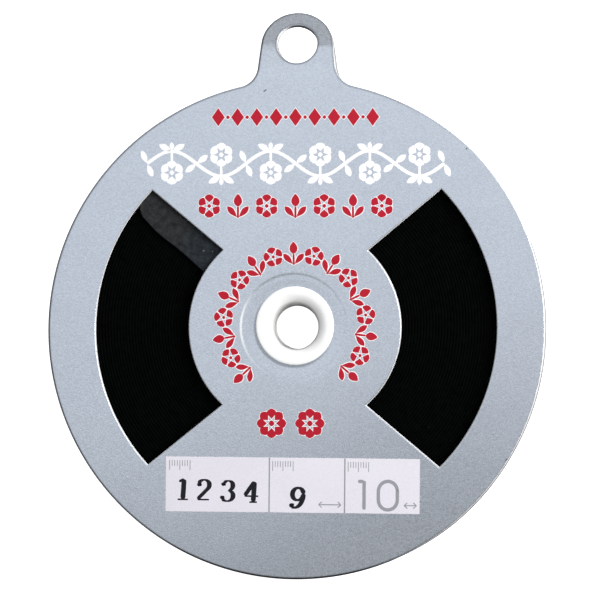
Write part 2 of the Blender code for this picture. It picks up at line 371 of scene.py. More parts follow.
inks = {
    # name: (colour, roughness)
    "whiteInk": ((0.93, 0.93, 0.94, 1), 0.5),
    "panelInk": ((0.75, 0.73, 0.80, 1), 0.5),
    "redInk": ((0.44, 0.008, 0.024, 1), 0.5),
    "blackInk": ((0.008, 0.009, 0.013, 1), 0.55),
    "greyInk": ((0.30, 0.31, 0.335, 1), 0.5),
    "scratchInk": ((0.12, 0.125, 0.14, 1), 0.5),
}


def printInk(name):
    colour, roughness = inks[name]
    material, tree, sockets, place = newMaterial(name, {"IOR": 1.45, "Specular IOR Level": 0.25})
    grain = useGroup(tree, grainGroup, Vector=place, Size=0.22, Flecks=0.07, Mottle=0.08)
    feed(tree, sockets, {
        "Base Color": scaled(tree, colour, grain["Shade"]),
        "Roughness": spread(tree, grain["Height"], 0, 1, roughness - 0.06, roughness + 0.06),
        "Normal": bump(tree, noise(tree, place, 2600.0), 0.10, 0.00002),
    })
    return material


def paleFloor():  # plain white to the camera
    material, tree, sockets, place = newMaterial(
        "paleFloor", {"Roughness": 0.9, "Specular IOR Level": 0.2, "Emission Color": (1, 1, 1, 1)})
    tone = spread(tree, noise(tree, place, 6.0), 0.3, 0.7, 0.985, 1.0)
    feed(tree, sockets, {"Base Color": scaled(tree, (0.92, 0.92, 0.92, 1), tone),
                         "Emission Strength": addNode(tree, "LightPath", {}).outputs["Is Camera Ray"]})
    return material


print("materials made")


# Quads between the neighbours of a grid of points.
def gridFaces(rows, columns, roundRows=False, roundColumns=False, start=0):
    row, column = np.meshgrid(np.arange(rows if roundRows else rows - 1),
                              np.arange(columns if roundColumns else columns - 1), indexing="ij")
    row, below, right = row * columns, (row + 1) % rows * columns, (column + 1) % columns
    corners = (row + column, below + column, below + right, row + right)
    return (np.stack(corners, axis=-1).reshape(-1, 4) + start).tolist()


# Puts a closed mesh into the scene with its faces out. Values are attributes or UVs, one row for each point.
def putPiece(name, points, faces, material, values=None, uv=None, sharpOver=40):
    mesh = bpy.data.meshes.new(name)
    mesh.from_pydata(((points + (0, discY, 0)) * mm).tolist(), [], faces)
    work = bmesh.new()
    work.from_mesh(mesh)
    bmesh.ops.recalc_face_normals(work, faces=work.faces)
    work.to_mesh(mesh)
    work.free()
    mesh.shade_smooth()
    mesh.set_sharp_from_angle(angle=math.radians(sharpOver))
    for label, numbers in (values or {}).items():
        data = mesh.attributes.new(label, "FLOAT", "POINT").data
        data.foreach_set("value", np.asarray(numbers, np.float32))
    if uv is not None:
        corner = np.zeros(len(mesh.loops), np.int32)
        mesh.loops.foreach_get("vertex_index", corner)
        mesh.uv_layers.new(name="cloth").data.foreach_set("uv", np.asarray(uv, np.float32)[corner].ravel())
    mesh.materials.append(material)
    piece = newObject(name, mesh)
    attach(piece, "root")
    print(name, "made:", sum(len(p.vertices) - 2 for p in mesh.polygons), "triangles")
    return piece


def oval(x, y, wide, tall, angle):
    return np.column_stack([x + wide * np.cos(angle), y + tall * np.sin(angle)])


def bow(x, y, wide, tall, start, stop, steps=36):  # an elliptic arc, in degrees
    return oval(x, y, wide, tall, np.radians(np.linspace(start, stop, steps)))


def arc(x, y, radius, start, stop, spacing=0.5):  # points a little apart on an arc, both ends among them
    steps = max(3, math.ceil(abs(stop - start) * radius / spacing))
    return oval(x, y, radius, radius, np.linspace(start, stop, steps + 1))


def line(x0, y0, x1, y1, steps=12):
    share = np.linspace(0, 1, steps)[:, None]
    return (1 - share) * (x0, y0) + share * (x1, y1)


def between(first, second, spacing=0.5):  # points a little apart on a straight line, without its ends
    steps = max(2, math.ceil(np.linalg.norm(np.subtract(second, first)) / spacing))
    return line(*first, *second, steps + 1)[1:-1]


def smoothStep(x):
    x = np.clip(x, 0, 1)
    return x * x * (3 - 2 * x)


def ramp(x, low, high):
    return smoothStep((x - low) / (high - low))


def bell(x, tall, middle, width):
    return tall * np.exp(-((x - middle) / width) ** 2)


def unit(vectors):
    return vectors / np.linalg.norm(vectors, axis=-1, keepdims=True)


def lengths(path):  # how far along a path each of its points lies
    return np.r_[0, np.cumsum(np.linalg.norm(np.diff(path, axis=0), axis=1))]


def bearingOf(steps):  # in radians, from +X towards +Y
    return np.arctan2(steps[:, 1], steps[:, 0])


def byBearing(bearing, known, values):  # a value known at a few bearings, in degrees, at others, in radians
    return np.interp(np.degrees(bearing) % 360, known, values, period=360)


# The card flanges.
card = {
    "board": 0.9, "topRound": 0.14, "underRound": 0.1, "margin": 0.7,  # of the cut edges
    # how strong the painted shade line is on the front rim, by the bearing it faces, most where it faces down
    # and left, away from the light; below 0 the rim shows the board's white instead, as a painted highlight
    "lineAt": (0, 30, 65, 120, 145, 185, 210, 230, 240, 260, 276, 292, 308, 318, 330, 345),
    "line": (0, 0, 0.15, 0.6, 0.7, 0.9, 0.85, 0.8, 0.9, 1.9, 1.3, 0.7, 0.1, -0.35, -0.45, -0.08),
    "rimTaper": 0.03, "holeTaper": 0.06, "windowTaper": 0.12,  # how far a cut wall leans out at its foot
    # how far the two rims run beyond a true circle, by bearing
    "rimAt": (0, 20, 45, 65, 80, 100, 120, 145, 185, 210, 230, 276, 292, 308, 330),
    "frontRim": (0.15, 0.50, 0.84, 0.58, 0.40, 0.27, 0.10, 0.07, 0.10, 0.02, -0.02, 0, 0.10, -0.05, -0.02),
    "backRim": (-0.28, -0.04, 0, 0, 0, 0, 0, 0, 0, 0, 0, 0, 0, -0.08, -0.36),
    # the tab: its round head, the fillets that join it to the disc, where they do, and its hole
    "headRadius": 8.7, "headY": 68.85, "flare": 6.0, "leftFillet": 5.3, "rightFillet": 5.9, "filletAt": 1.3,
    "hole": 4.90, "holeY": 69.29,
    "tabAside": (0.17, -0.3),  # how far the front and the back tab stand to the right
    # the tab's lean in degrees, and the crease across it, by how soft it is on the right and on the left
    "lean": 15.4, "tipLean": 24.0, "leanFrom": 60.0, "leanTo": 64.0,
    "creaseY": 68.5, "creaseRight": 0.4, "creaseLeft": 3.0,
    # painted shade darkens the wall of the tab's hole about one bearing, in radians, at its top, facing away
    # from the light
    "holeShadeAt": 1.25, "holeShadeReach": 1.1, "holeShadeFade": 0.5,
    # the right and the left window: outer and inner arc, as (outwards, up, radius), and both ends' slants
    "windows": {1: ((0.75, 0.81, 48.0), (0.46, 0.84, 25.03), (39.83, 40.0)),
                -1: ((0.42, 0.12, 48.22), (0.68, 0.65, 25.17), (40.0, 38.75))},
    "windowY": 0.5, "windowOffset": 3.3,
    "dish": 12.5, "dishWall": 0.8, "dishStep": 0.08, "dishDepth": 0.21, "hubHole": 8.2,
    "paintedRimShadow": 0.45, "paintedRimShadowFrom": 9.95,  # painted shadow on the card against the hub's rim, within this radius
    # the dish's crease has a painted highlight of the board's white on the left and painted shade below: how
    # much, at what bearing, how far round
    "creaseRows": 10, "creaseHighlight": (0.7, 175, 29), "creaseShade": (0.15, 255, 28),
    # the painted shade in a hole: its least, what is added to it, and the way off the card where it is
    # strongest
    "lineIn": {"dish": (0.3, 0.7, (0.707, 0.707)), "tabHole": (0.34, 0.16, (-0.6, 0.8)),
               "window": (0, 0, (0, 0))},
    "warp": 0.035, "warpFrom": (14, 26), "warpTo": 62,
    # how far up the front edge turns into the tab's, which is less worn and has its painted shade line all
    # round
    "tabEdge": (50, 56), "tabWear": 0.6, "tabLine": 0.35, "tabShift": (54, 61),
}


def rimRadius(bearing, front):
    return discRadius + byBearing(bearing, card["rimAt"], card["frontRim" if front else "backRim"])


# The right half of the tab's outline, and the bearing at which its fillet leaves the disc.
def tabSide(fillet, radius):
    flare = math.radians(card["flare"])
    reach = card["headY"] * math.sin(flare) + card["headRadius"] + fillet
    around = radius + fillet
    lean = flare + math.acos(reach / around)
    foot = arc(around * math.cos(lean), around * math.sin(lean), fillet, lean + math.pi, math.pi + flare)
    head = arc(0, card["headY"], card["headRadius"], flare, math.pi / 2)
    return np.vstack([foot, between(foot[-1], head[0]), head]), lean


# The flat card's outline: the tab's right side, its left side mirrored, and the disc. Anticlockwise.
def cardOutline(front):
    right, rightLean = tabSide(card["rightFillet"], rimRadius(card["filletAt"], front))
    left, leftLean = tabSide(card["leftFillet"], rimRadius(math.pi - card["filletAt"], front))
    rim = arc(0, 0, 1, math.pi - leftLean, math.tau + rightLean, 0.5 / discRadius)[1:-1]
    rim *= rimRadius(bearingOf(rim), front)[:, None]
    return np.vstack([right, left[-2::-1] * (-1, 1), rim])


# A window: a band between two arcs, with straight ends that lie beside a slanted radius. Clockwise.
def windowOutline(side):
    outer, inner, ends = card["windows"][side]

    def endAngle(circle, end):  # where the upper or the lower end cuts one of the circles
        slant, up = math.radians(ends[end]), (1, -1)[end]
        off = up * (circle[1] - card["windowY"]) * math.cos(slant) - circle[0] * math.sin(slant)
        return up * (slant + math.asin((card["windowOffset"] - off) / circle[2]))

    wide = arc(*outer, endAngle(outer, 1), endAngle(outer, 0))
    narrow = arc(*inner, endAngle(inner, 0), endAngle(inner, 1))
    loop = np.vstack([wide, between(wide[-1], narrow[0]), narrow, between(narrow[-1], wide[0])])
    return loop[::-1] if side > 0 else loop * (-1, 1)


# At each point of a loop, the step off the card that moves both edges there by one unit.
def outwards(loop):
    edge = unit(np.roll(loop, -1, axis=0) - loop)
    normal = np.column_stack([edge[:, 1], -edge[:, 0]])
    before = np.roll(normal, 1, axis=0)
    return (before + normal) / (1 + (before * normal).sum(axis=1, keepdims=True))


# A cut edge's profile, from the outer face to the inner: inset, depth, the board's white, near and painted
# shade.
# The wall leans out by the taper. On the back card, whose inner face shows, the painted shade line is on the
# wall.
def cutProfile(taper, front=True):
    board, top, under, margin = pick(card, "board topRound underRound margin")
    turn = np.radians([0, 22, 45, 68, 90])
    inwards, down, wallLine = 1 - np.sin(turn), 1 - np.cos(turn), 0 if front else 1
    upper = np.column_stack([top * inwards, top * down, [0, 0, 0, 0.6, 1], [0.8] * 5, [1] * 5])
    lower = np.column_stack([under * down - taper, board - under * inwards, [1] * 5, [0] * 5, [1] * 5])
    return np.vstack([
        (margin, 0, 0, 0, 0), (0.45, 0, 0, 0.74, 0.3), (0.37, 0, 0, 0.78, 1), upper,
        (-0.1 * taper, top + 0.05, 1, 0, wallLine), (-0.9 * taper, board - under - 0.1, 1, 0, wallLine),
        lower, (under + 0.12, board, 1, 0, 1), (under + 0.2, board, 1, 0, 0), (margin, board, 1, 0, 0)])


# The dish's profile, inwards from its edge: a crease, a shallow cone, the hub's hole and the same back below.
def dishProfile():
    board, wall, depth, step = pick(card, "board dishWall dishDepth dishStep")
    edge = card["dish"] + wall
    reach = edge - card["hubHole"]
    share = np.linspace(0, 1, card["creaseRows"])
    crease = np.column_stack([-wall * share, step * smoothStep(share)])
    radius = np.array([12.2, 11.8, 11.4, 10.9, 10.5, 10.3, 10.1, 9.9, 9.7, 9.5, 9.2, 8.6])
    cone = np.column_stack([radius - edge, step + (depth - step) * smoothStep((card["dish"] - radius) / 3.2)])
    down = np.vstack([crease, cone])
    hole = np.array([(-reach + 0.12, depth), (-reach + 0.03, depth + 0.03), (-reach, depth + 0.12),
                     (-reach, depth + board - 0.05), (-reach + 0.05, depth + board)])
    back = down[::-1] + (0.25, board)
    # painted shadow of the hub's rim on the card, made stronger at the lower left by the edge's strength
    paintedRimShadow = card["paintedRimShadow"] * smoothStep((card["paintedRimShadowFrom"] - radius) / 0.35)
    # painted highlight and painted shade on the crease, strongest across its middle
    creasePainted = np.sin(math.pi * share)
    bareAndHighlight = np.r_[creasePainted, np.zeros(len(cone) + 1), 0.5, np.ones(3 + len(back))]
    paintedShade = np.r_[creasePainted, paintedRimShadow, np.zeros(5 + len(back))]
    return np.column_stack([np.vstack([down, hole, back]), bareAndHighlight, np.zeros(len(bareAndHighlight)), paintedShade])


def inside(points, loop):  # by counting the loop's edges to the right of each point
    ahead = np.roll(loop, -1, axis=0)
    x, y = points[:, :1], points[:, 1:]
    crosses = (loop[:, 1] > y) != (ahead[:, 1] > y)
    rise = np.where(ahead[:, 1] == loop[:, 1], 1, ahead[:, 1] - loop[:, 1])
    where = loop[:, 0] + (y - loop[:, 1]) / rise * (ahead[:, 0] - loop[:, 0])
    return (crosses & (x < where)).sum(axis=1) % 2 == 1


def onCard(points, loops):  # inside the first loop and outside the others
    return inside(points, loops[0]) & ~np.any([inside(points, hole) for hole in loops[1:]], axis=0)


# Triangles that fill the card between its loops, with even points strewn over it, closer in the tab.
def fillCard(loops):
    rim = np.vstack(loops)
    strewn = []
    for pitch, clear, low, high in ((2.6, 1.5, -discRadius, 57.0), (0.8, 0.5, 57.4, 80.0)):
        x, y = np.meshgrid(np.arange(-discRadius, discRadius, pitch), np.arange(low, high, pitch * 0.87))
        x[::2] += pitch / 2
        points = np.column_stack([x.ravel(), y.ravel()])
        points = points[onCard(points, loops)]
        gap = np.linalg.norm(points[:, None] - rim[None], axis=2).min(axis=1)
        strewn.append(points[gap > clear])
    everything = np.vstack([rim] + strewn)
    edges, start = [], 0
    for loop in loops:
        number = np.arange(len(loop))
        edges += (np.column_stack([number, np.roll(number, -1)]) + start).tolist()
        start += len(loop)
    filled = delaunay_2d_cdt([Vector(p) for p in everything], edges, [], 1, 1e-7)
    same = np.array([origin[0] for origin in filled[3]])
    triangles = same[np.array(filled[2])]
    return np.vstack(strewn), triangles[onCard(everything[triangles].mean(axis=1), loops)]


# Leans the tab back. Along the card the lean grows to its first value, and again across the crease, which is
# sharp on the right and soft on the left. A point keeps its height over the card's middle layer.
def bendTab(points):
    lean, tip = math.radians(card["lean"]), math.radians(card["tipLean"])
    start, stop, half = card["leanFrom"], card["leanTo"], card["board"] / 2
    y = points[:, 1]
    curved = np.clip(y - start, 0, stop - start)
    eased = lean * curved / (stop - start)
    beyond = np.maximum(y - stop, 0)
    soft = ramp(points[:, 0], -card["hole"], card["hole"])
    width = card["creaseLeft"] + (card["creaseRight"] - card["creaseLeft"]) * soft
    past = y - card["creaseY"]
    turned = np.clip(past / width + 0.5, 0, 1)
    steep = np.where(turned < 1, turned ** 2 * width / 2, past)
    newY = np.minimum(y, start) + curved * np.cos(eased / 2)
    newY += (beyond - steep) * math.cos(lean) + steep * math.cos(tip)
    drop = curved * np.sin(eased / 2) + (beyond - steep) * math.sin(lean) + steep * math.sin(tip)
    slope = eased + (tip - lean) * turned
    above = points[:, 2] + half
    return np.column_stack([points[:, 0], newY + above * np.sin(slope), above * np.cos(slope) - half - drop])


# How far the front card's face leaves its plane: a few slow waves, none near the hub.
def cardWarp(x, y):
    distance = np.hypot(x - dishX, y - dishY)
    waves = np.sin(x / 17.0 + 0.7) * np.cos(y / 21.0 - 0.4) + 0.6 * np.sin((x + y) / 13.0 + 2.0)
    return card["warp"] * waves * ramp(distance, *card["warpFrom"])


# How strong the painted shade is along a loop: on the front rim by the bearing it faces, a painted highlight
# where below 0, on the back rim more below, in the tab's hole more at the lower right, and in the dish, as the
# painted shadow of the hub's rim, more at the lower left.
def paintedLightStrength(kind, loop, front):
    normal = outwards(loop)
    if kind == "rim" and front:
        return byBearing(bearingOf(normal), card["lineAt"], card["line"])
    if kind == "rim":
        return 0.6 + 0.3 * np.clip(-normal[:, 1], 0, 1)
    low, more, way = card["lineIn"][kind]
    return low + more * smoothStep(0.5 + 0.8 * normal @ way)


# The board's white with painted highlights, near, and painted shade at every point of a cut edge, profile row
# by profile row.
def edgeWear(kind, loop, profile, front):
    rows, columns = len(profile), len(loop)
    bareAndHighlight, near, paintedShade = np.repeat(profile[:, 2:], columns, axis=0).T.copy()
    strength = np.tile(paintedLightStrength(kind, loop, front), rows)
    if kind == "rim":
        onTab = np.tile(ramp(loop[:, 1], *card["tabEdge"]), rows)
        near *= 1 - (1 - card["tabWear"]) * onTab
        strength = np.maximum(strength, card["tabLine"] * onTab)
    if kind == "dish":
        around = np.tile(np.degrees(bearingOf(loop - (dishX, dishY))) % 360, card["creaseRows"])
        # painted highlight of the board's white on the crease at the left, painted shade below
        bareAndHighlight[:len(around)] *= bell(around, *card["creaseHighlight"])
        strength[:len(around)] = bell(around, *card["creaseShade"])
    # where the strength is below 0, the board's white shows as a painted highlight
    bareAndHighlight = np.maximum(bareAndHighlight, -strength * paintedShade)
    paintedShade *= np.maximum(strength, 0)
    # painted shade on the white wall of the tab's hole, at its top
    if kind == "tabHole":
        aside = np.abs(bearingOf(loop - (0, card["holeY"])) - card["holeShadeAt"])
        holeShaded = smoothStep((card["holeShadeReach"] - aside) / card["holeShadeFade"])
        paintedShade = np.maximum(paintedShade, np.tile(holeShaded, rows) * (bareAndHighlight > 0.9))
    return np.column_stack([bareAndHighlight, near, paintedShade])


def cardFlange(name, node, front, material):
    edges = [("rim", cardOutline(front), cutProfile(card["rimTaper"], front)),
             ("tabHole", arc(0, card["holeY"], card["hole"], math.tau, 0, 0.35)[:-1],
              cutProfile(card["holeTaper"]))]
    if front:
        edges += [("window", windowOutline(side), cutProfile(card["windowTaper"])) for side in (1, -1)]
    edges.append(("dish", arc(dishX, dishY, card["dish"] + card["dishWall"], math.tau, 0, 0.7)[:-1],
                  dishProfile()))
    points, values, faces, loops, tops, unders = [], [], [], [], [], []
    start = 0
    for kind, loop, profile in edges:
        rows, columns = len(profile), len(loop)
        flat = loop[None] - profile[:, 0, None, None] * outwards(loop)[None]
        depth = np.broadcast_to(-profile[:, 1, None, None], (rows, columns, 1))
        points.append(np.concatenate([flat, depth], axis=2).reshape(-1, 3))
        values.append(edgeWear(kind, loop, profile, front))
        faces += gridFaces(rows, columns, roundColumns=True, start=start)
        loops.append(flat[0])
        tops.append(np.arange(columns) + start)
        unders.append(tops[-1] + (rows - 1) * columns)
        start += rows * columns
    strewn, triangles = fillCard(loops)
    many = len(strewn)
    for number, height in enumerate((0.0, -card["board"])):
        points.append(np.column_stack([strewn, np.full(many, height)]))
        values.append(np.tile((float(number), 0.0, 0.0), (many, 1)))
        ring = np.concatenate((tops, unders)[number] + [np.arange(many) + start + number * many])
        faces += ring[triangles if number == 0 else triangles[:, ::-1]].tolist()
    points, values = np.vstack(points), np.vstack(values)
    if front:
        points[:, 2] += cardWarp(points[:, 0], points[:, 1]) * (points[:, 1] < card["warpTo"])
    points = bendTab(points)
    points[:, 0] += card["tabAside"][0 if front else 1] * ramp(points[:, 1], *card["tabShift"])
    points[:, 2] = points[:, 2] + reelTop if front else -points[:, 2]
    piece = putPiece(name, points, faces, material, values=dict(zip(("bareAndHighlight", "near", "paintedShade"), values.T)))
    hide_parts(node)
    return piece


silver = silverCard()
cardFlange("frontFlange", "front_flange", True, silver)
cardFlange("backFlange", "back_flange", False, silver)


# The hub.
hubShape = {
    "rim": 9.54, "rimEdge": 0.75, "rimInset": 0.03, "funnel": 8.1, "curl": 2.9, "funnelDepth": 5.2,
    "bore": 5.22, "boreAside": -0.45, "slit": 0.14, "lip": 0.05, "neck": 7.7, "barrel": 14.1, "steps": 160,
    # how strongly painted shade darkens the funnel beside the bore, by bearing: most towards the right, least
    # on the left
    "paintedFunnelShadeAt": (0, 45, 90, 120, 150, 180, 210, 240, 270, 300, 330),
    "paintedFunnelShade": (0.65, 0.75, 0.6, 0.45, 0.2, 0.15, 0.2, 0.45, 0.7, 0.75, 0.65),
}


# The eyelet is a profile carried round the axis, the same both ways: a flat rim with a rounded lip, a funnel of
# a quarter ellipse, a slit round the inner tube's lip, and the bore; outside, the neck and the barrel.
def makeHub():
    size = hubShape
    mouth, neck, barrel, slit = pick(size, "funnel neck barrel slit")
    top = reelTop - size["rimInset"]
    shoulder = reelTop - card["dishDepth"] - card["board"] - 0.02
    under = top - size["rimEdge"]
    turn = np.linspace(0, math.pi / 2, 18)
    foot = size["bore"] + slit + size["lip"]
    funnel = np.column_stack([mouth - (mouth - foot) * np.sin(turn), top - size["curl"] * (1 - np.cos(turn))])
    funnel[0, 1] -= 0.02
    around = np.linspace(-math.pi / 2, math.pi / 2, 9)
    bead = size["rimEdge"] / 2
    lip = oval(size["rim"] - bead, top - bead, bead, bead, around)
    ease = np.array([(mouth + 0.35, top), (mouth + 0.12, top - 0.004)])
    body = np.array([(barrel, shoulder - 0.15), (barrel - 0.15, shoulder), (neck, shoulder),
                     (neck, under - 0.05), (neck + 0.05, under)])
    tube = np.array([(0, 0), (0, -0.5), (-slit, -0.5), (-slit, 0), (-slit - size["lip"], 0)])
    upper = np.vstack([body, lip, ease, funnel, tube + (foot, top - size["funnelDepth"])])
    profile = np.vstack([upper, upper[::-1] * (1, -1) + (0, reelTop)])
    radius, height = profile[:, :1], profile[:, 1:]
    angle = np.linspace(0, math.tau, size["steps"], endpoint=False)
    # The bore stands a little below the rims' middle.
    deep = np.minimum(top - height, height - reelTop + top) / size["funnelDepth"]
    shift = size["boreAside"] * smoothStep(deep) * (radius < mouth + 0.01)
    points = np.stack([hubX + radius * np.cos(angle), hubY + shift + radius * np.sin(angle),
                       np.repeat(height, len(angle), axis=1)], axis=2).reshape(-1, 3)
    faces = gridFaces(len(profile), len(angle), roundRows=True, roundColumns=True)
    clean = np.zeros(len(body) + len(lip) + len(ease))
    # painted shade: the funnel darkens towards the bore, more on the side away from the light
    paintedFunnelShade = np.r_[clean, ramp(np.sin(turn), 0.74, 1), np.ones(len(tube))]
    uneven = byBearing(angle, size["paintedFunnelShadeAt"], size["paintedFunnelShade"])
    piece = putPiece("hubEyelet", points, faces, whitePlastic(), sharpOver=50,
                     values={"paintedFunnelShade": np.outer(np.r_[paintedFunnelShade, paintedFunnelShade[::-1]], uneven).ravel()})
    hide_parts("hub")


makeHub()


# The wound tape.
tape = {
    "width": 9.0, "clear": 0.3, "outside": 50.8, "turns": 49, "thick": 0.69, "segment": 1.45, "sway": 0.11,
    "endAngle": 138.0,  # the bearing of the loose end
    # over its last length the roll's upper edge runs further round than the lower, along the loose end's fold
    "slantLong": 14.0, "slantUp": 5.5, "slantBack": 4.0,
}


# A smooth uneven value from 0 to 1 along the tape: slow waves whose lengths never meet.
def sway(angle):
    waves = np.sin(angle * 0.37 + 1.0) + 0.7 * np.sin(angle * 1.13 + 0.3) + 0.5 * np.sin(angle * 2.71)
    groups = np.sin(angle / (math.tau * 3.3)) + 0.8 * np.sin(angle / (math.tau * 1.45) + 2.0)
    return np.clip(0.5 + 0.13 * waves + 0.17 * groups, 0, 1)


def clothPlace(along, section):  # the cloth's own (length, width), for a grid of its points
    return np.stack(np.meshgrid(along, lengths(section), indexing="ij"), axis=2).reshape(-1, 2)


# The roll is one tape wound on edge. Its middle line is a spiral whose radius grows evenly with the angle,
# with points a fixed length apart. Across it, the folded tape is a tall section with round ends.
def makeRoll():
    half, inner, width = tape["thick"] / 2, hubShape["barrel"] + tape["clear"], tape["width"]
    first, last = inner + half, tape["outside"] - half
    wound = math.tau * tape["turns"]
    length = math.pi * (first + last) * tape["turns"]
    along = np.linspace(0, length, round(length / tape["segment"]))
    radius = np.sqrt(first ** 2 + (last ** 2 - first ** 2) * along / length)
    angle = wound * (radius - first) / (last - first)
    turn = np.radians([180, 152, 118, 90, 62, 28, 0])
    cap = oval(0, 0, half, half, turn)
    section = np.vstack([cap + (0, width - half), -cap + (0, half)])
    aside, up = section.T
    top = width - tape["sway"] * sway(angle)[:, None]
    height = card["board"] + tape["clear"] + up * top / width
    slant = 1 - np.clip((length - along) / tape["slantLong"], 0, 1)[:, None]
    bearing = math.radians(tape["endAngle"]) + angle[:, None] - wound
    bearing = bearing + slant ** 2 * (up / width * tape["slantUp"] - tape["slantBack"]) / last
    reach = radius[:, None] + aside
    points = np.stack([hubX + reach * np.cos(bearing), hubY + reach * np.sin(bearing), height], axis=2)
    rows, columns = len(along), len(section)
    faces = gridFaces(rows, columns, roundColumns=True)
    faces += [list(range(columns))[::-1], [(rows - 1) * columns + k for k in range(columns)]]
    piece = putPiece("woundTape", points.reshape(-1, 3), faces, tapeCloth("rollCloth"),
                     uv=clothPlace(along, section), sharpOver=60)
    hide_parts("wound_tape")
    return piece


# A sheet's two faces, half a thickness either side of a grid of points, joined along its four borders.
def thickSheet(grid, thickness):
    rows, columns = grid.shape[:2]
    normal = unit(np.cross(np.gradient(grid, axis=0), np.gradient(grid, axis=1)))
    points = np.vstack([(grid + normal * side * thickness / 2).reshape(-1, 3) for side in (1, -1)])
    under = rows * columns
    faces = gridFaces(rows, columns) + gridFaces(rows, columns, start=under)
    number = np.arange(under).reshape(rows, columns)
    border = np.r_[number[0], number[1:, -1], number[-1, -2::-1], number[-2:0:-1, 0]]
    ahead = np.roll(border, -1)
    faces += np.column_stack([border, ahead, ahead + under, border + under]).tolist()
    return points, faces


looseEnd = {
    "cloth": 0.22, "foldRadius": 0.16, "gap": 0.5,  # between the two raw edges
    "inner": 17.0, "aside": 0.75, "corner": 0.5, "foldStart": 45.2, "foldShare": 0.94,
    "bow": (0.5, 39.6, 4.4),  # how far it bends aside on the roll's face, where and over how long
    "rise": 0.22, "lift": 0.12, "liftTo": (40, 48),
}


# The loose end: folded tape whose section is a flat C, face up, with both edges turned under to the middle. It
# lies over the roll's face and down its outside. A slanting fold takes its width from one side.
def makeLooseEnd(roll):
    size = looseEnd
    width, clear = pick(tape, "width clear")
    thin, fold, corner, inner, start = pick(size, "cloth foldRadius corner inner foldStart")
    floor = card["board"] + clear + width + clear  # the height it rests at
    bend = corner + thin / 2 + fold  # the bend's radius, at the middle of the tape's two layers
    edge, round90 = tape["outside"] + clear - corner, bend * math.pi / 2
    foot = edge + round90 + floor - corner - card["board"] - clear - 0.12
    way = np.concatenate([np.linspace(inner, edge, 90), edge + round90 * np.linspace(0, 1, 14)[1:],
                          np.linspace(edge + round90, foot, 16)[1:]])
    turn = np.clip((way - edge) / bend, 0, math.pi / 2)
    distance = np.minimum(way, edge) + bend * np.sin(turn)
    height = floor + size["rise"] - corner + bend * np.cos(turn) - np.maximum(way - edge - round90, 0)

    # Section: (aside, rise) of the cloth's middle layer, from one raw edge round both folds to the other.
    flat = width / 2 - fold - thin / 2
    around = np.linspace(-math.pi / 2, math.pi / 2, 7)
    half = np.vstack([np.column_stack([np.linspace(size["gap"] / 2, flat, 8)[:-1], np.full(7, -fold)]),
                      oval(flat, 0, fold, fold, around),
                      np.column_stack([np.linspace(flat, 0, 13)[1:], np.full(12, fold)])])
    section = np.vstack([half, half[-2::-1] * (-1, 1)])
    aside, rise = section.T

    folded = np.clip((way - start) / (foot - start), 0, 1)
    far = (0.5 - size["foldShare"] * folded) * width
    onFace = 1 - turn / (math.pi / 2)
    bowed = bell(way, *size["bow"]) * onFace
    sideways = -width / 2 + (aside / width + 0.5) * (far + width / 2)[:, None] + bowed[:, None]
    long = way[:, None]
    swell = 0.5 + 0.5 * np.sin(long / 5.2 + sideways / 3.4) * np.cos(sideways / 2.6 - long / 9.0)
    flatter = onFace * (1 - 0.55 * ramp(way, *size["liftTo"]))
    out = rise + size["lift"] * swell * flatter[:, None]

    direction = math.radians(tape["endAngle"])
    along = np.array([math.cos(direction), math.sin(direction)])
    across = np.array([-along[1], along[0]])
    radial = distance[:, None] + out * np.sin(turn)[:, None]
    level = height[:, None] + out * np.cos(turn)[:, None]
    plan = (hubX, hubY) + across * size["aside"] + radial[..., None] * along + sideways[..., None] * across
    points, faces = thickSheet(np.concatenate([plan, level[..., None]], axis=2), thin)
    uv = clothPlace(way, section)
    piece = putPiece("looseEnd", points, faces, tapeCloth("endCloth"), uv=np.vstack([uv, uv]), sharpOver=70)
    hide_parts("tape_end")


makeLooseEnd(makeRoll())


# The print on the front card.
printed = {
    "rise": 0.022, "softEdge": 0.03, "halo": 0.19,
    "vineY": 40.2, "vineHalf": 36.0, "vineBends": 6, "vineRise": 3.0, "blossom": 2.9,
    "diamondsY": 51.4, "diamondsHalf": 18.7, "diamonds": 9, "diamond": 2.2,
    "rowY": 30.0, "rowHalf": 20.9, "rowCount": 7, "rowRadius": 2.85,
    "ringRadius": 17.35, "ringFrom": 223.0, "ringTo": -41.0, "ringCount": 17,
    "ringFlower": 2.4, "ringSprig": 2.3,
    "pairY": -22.4, "pairX": (-5.8, 3.5), "pairRadius": 3.6,
    "panelX": (-31.46, 30.07), "panelY": (-43.9, -30.67), "panelTurn": -0.5, "dividers": (-6.35, 11.93),
    "countX": (2.25, 7.25, 13.2, 18.8), "figure": 5.3,  # the counting row, and how tall a figure is
    "pens": (0.17, 0.42, 0.13, 0.09),  # half widths of the dividers, the large digits, arrows and ticks
    # a scuff by the tab and two nicks at the rim
    "scratches": ((-7.75, 57.5, -7.0, 58.1), (50.75, -31.3, 51.1, -30.75), (41.2, 43.5, 41.5, 43.9)),
}


# A pen stroke of round ends, with its points closer towards both. Its half width goes from thin on level
# stretches to thick on upright ones.
def penStroke(path, thin, thick, steps=36):
    run = lengths(path)
    wanted = run[-1] * (0.5 - 0.5 * np.cos(np.linspace(0, math.pi, steps)))
    path = np.column_stack([np.interp(wanted, run, path[:, k]) for k in (0, 1)])
    half = thin + (thick - thin) * np.abs(unit(np.gradient(path, axis=0))[:, 1]) ** 1.4
    run = lengths(path)
    share = np.clip(np.minimum(run, run[-1] - run) / half, 0.0, 1)
    return path, half * np.sqrt(1 - (1 - share) ** 2) + 1e-4


